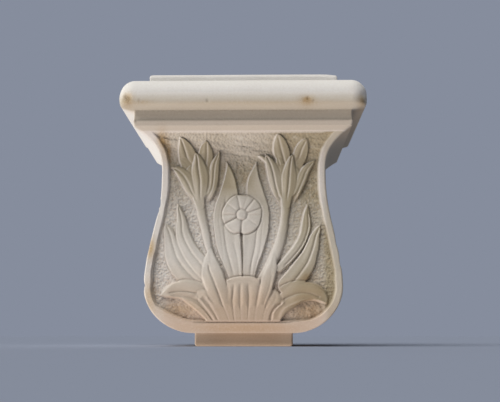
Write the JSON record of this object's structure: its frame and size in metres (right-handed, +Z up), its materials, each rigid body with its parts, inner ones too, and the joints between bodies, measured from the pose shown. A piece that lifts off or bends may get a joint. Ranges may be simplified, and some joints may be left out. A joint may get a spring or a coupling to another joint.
{
  "type": "carved marble wall capital",
  "caption": "Bracket-shaped marble wall capital with an S-curved bell, a sunk panel of lilies, daisy and leaves, and a moulded slab with a raised bed.",
  "frame": {"origin": "middle of the bounding box at the underside of the foot", "axes": "+Z up to the bed, the carved front faces -Y, the flat back faces +Y, +X to the right of someone looking at the front"},
  "size_m": [0.306, 0.234, 0.3375],
  "materials": {
    "marble": "hand-carved white marble, rubbed smooth, with light brown weathering in the hollows"
  },
  "bodies": {
    "root": {"capital": "marble"}
  },
  "joints": []
}
